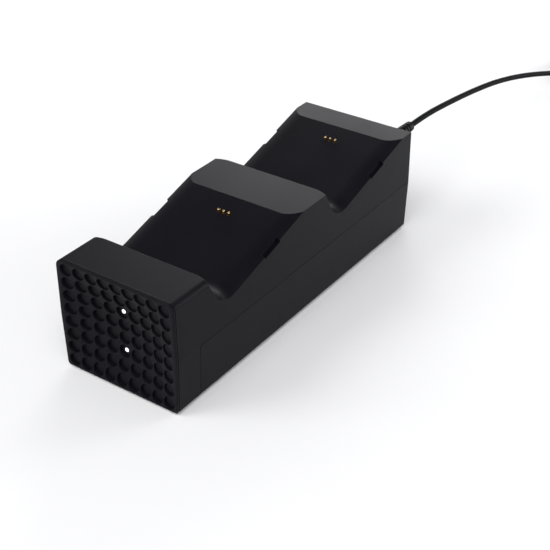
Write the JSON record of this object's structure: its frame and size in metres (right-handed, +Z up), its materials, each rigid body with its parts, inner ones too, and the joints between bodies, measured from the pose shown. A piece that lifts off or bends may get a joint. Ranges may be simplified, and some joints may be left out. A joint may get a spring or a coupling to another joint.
{
  "type": "controller charging dock",
  "caption": "Long low charging dock for two game controllers, with sloping seats in a row, sprung contacts, a dimpled front panel with lights and a tail lead with a plug.",
  "frame": {"origin": "centre of the dock's footprint on the surface it stands on, feet included and lead left out", "axes": "+X to the right seen from the dimpled front panel, +Y from the front panel to the back where the lead leaves, +Z up"},
  "size_m": [0.0946, 0.5348, 0.0582],
  "materials": {
    "shell_top": "satin black moulding with a fine grain",
    "shell_base": "satin black moulding with a fine grain",
    "panel": "satin black moulding",
    "guide": "clear light guide",
    "rubber": "soft matt rubber",
    "steel": "zinc plated",
    "board": "green solder resist",
    "chip": "moulded chip body",
    "lamp": "white lamp body",
    "can": "brushed can",
    "socket": "natural nylon",
    "gold": "gold plated, polished",
    "ribbon": "grey wire ribbon",
    "relief": "soft satin moulding",
    "lead": "satin jacket",
    "plug": "fine grained moulding",
    "plug_steel": "nickel plated steel",
    "tongue": "white insulator"
  },
  "bodies": {
    "dock": {"upper_casing": "shell_top", "lower_casing": "shell_base", "front_panel": "panel", "light_guide_upper": "guide", "light_guide_lower": "guide", "feet": "rubber", "casing_screws": "steel", "contact_board_front": "board", "contact_board_rear": "board", "contact_screws_front": "steel", "contact_screws_rear": "steel", "contact_barrels_front": "gold", "contact_barrels_rear": "gold", "indicator_board": "board", "indicator_lamps": "lamp", "indicator_screws": "steel", "main_board": "board", "board_screws": "steel", "charge_chips": "chip", "board_capacitors": "can", "board_sockets": "socket", "ribbon_front": "ribbon", "ribbon_rear": "ribbon", "ribbon_indicator": "ribbon", "strain_relief": "relief", "inner_lead": "lead", "lead_clamp": "plug", "clamp_screws": "steel", "cable": "lead", "cable_coil": "lead", "cable_tie": "plug", "cable_tail": "lead", "plug_body": "plug", "plug_shell": "plug_steel", "plug_tongue": "tongue"},
    "contact_pin_front_left": {"contact_pin_front_left": "gold"},
    "contact_pin_front_centre": {"contact_pin_front_centre": "gold"},
    "contact_pin_front_right": {"contact_pin_front_right": "gold"},
    "contact_pin_rear_left": {"contact_pin_rear_left": "gold"},
    "contact_pin_rear_centre": {"contact_pin_rear_centre": "gold"},
    "contact_pin_rear_right": {"contact_pin_rear_right": "gold"}
  },
  "joints": [
    {"name": "contact_pin_front_left_press", "type": "slide", "parent": "dock", "child": "contact_pin_front_left", "axis": [0, 0.274, -0.9617], "range_m": [0, 0.0012], "stiffness_N_per_m": 500},
    {"name": "contact_pin_front_centre_press", "type": "slide", "parent": "dock", "child": "contact_pin_front_centre", "axis": [0, 0.274, -0.9617], "range_m": [0, 0.0012], "stiffness_N_per_m": 500},
    {"name": "contact_pin_front_right_press", "type": "slide", "parent": "dock", "child": "contact_pin_front_right", "axis": [0, 0.274, -0.9617], "range_m": [0, 0.0012], "stiffness_N_per_m": 500},
    {"name": "contact_pin_rear_left_press", "type": "slide", "parent": "dock", "child": "contact_pin_rear_left", "axis": [0, 0.274, -0.9617], "range_m": [0, 0.0012], "stiffness_N_per_m": 500},
    {"name": "contact_pin_rear_centre_press", "type": "slide", "parent": "dock", "child": "contact_pin_rear_centre", "axis": [0, 0.274, -0.9617], "range_m": [0, 0.0012], "stiffness_N_per_m": 500},
    {"name": "contact_pin_rear_right_press", "type": "slide", "parent": "dock", "child": "contact_pin_rear_right", "axis": [0, 0.274, -0.9617], "range_m": [0, 0.0012], "stiffness_N_per_m": 500}
  ]
}
